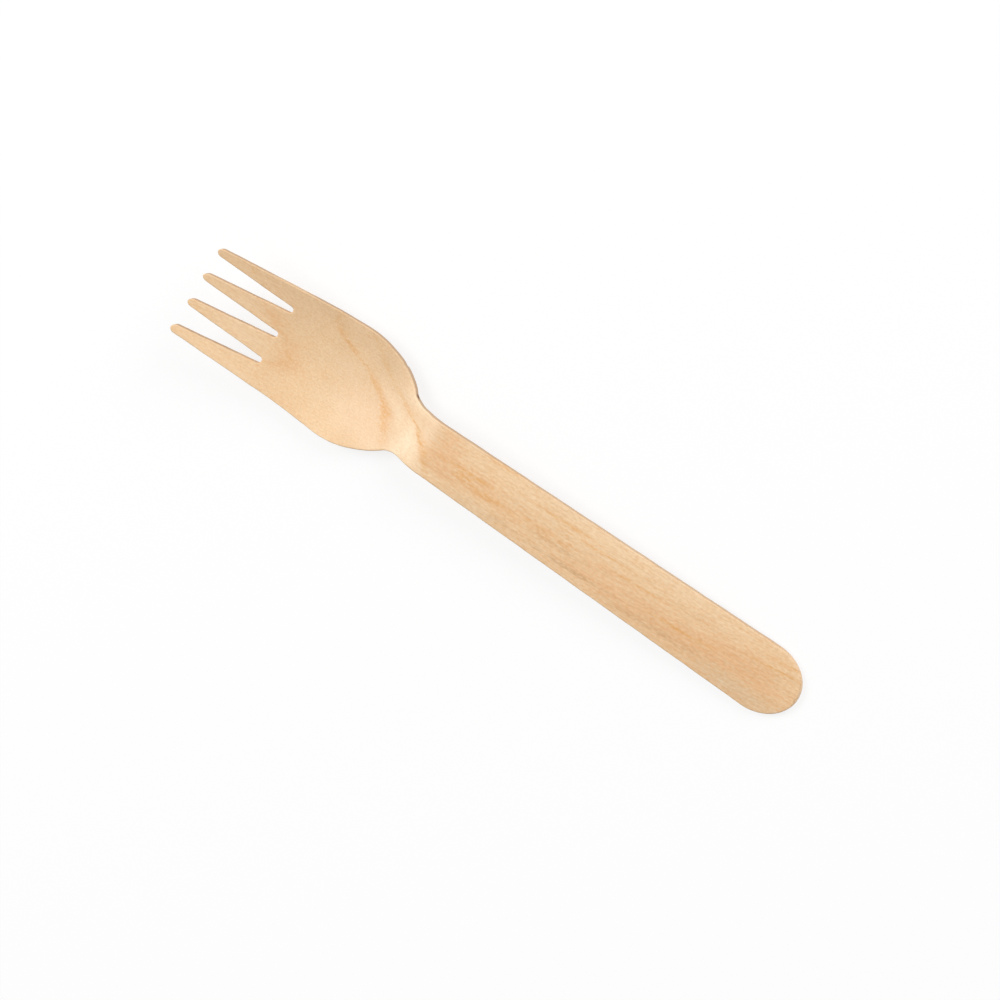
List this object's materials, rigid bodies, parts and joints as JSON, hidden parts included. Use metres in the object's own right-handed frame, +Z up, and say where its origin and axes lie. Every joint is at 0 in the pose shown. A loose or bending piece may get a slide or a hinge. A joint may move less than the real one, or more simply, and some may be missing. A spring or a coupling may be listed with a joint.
{
  "type": "disposable wooden fork",
  "caption": "Single-use wooden fork, die-cut and pressed from one veneer, with tapered tines, a shallow dished head and a flat round-ended handle, for lifting and holding food.",
  "frame": {"origin": "on the table that the fork lies on, below the middle of its bounding box", "axes": "+X from the tine tips to the handle's end, +Y across the fork, +Z up out of the head's hollow"},
  "size_m": [0.16, 0.027, 0.0126],
  "materials": {
    "birch": "hot-pressed bare birch veneer, smooth and satin on both faces, a little darker and rougher on the cut edges"
  },
  "bodies": {
    "root": {"fork": "birch"}
  },
  "joints": []
}
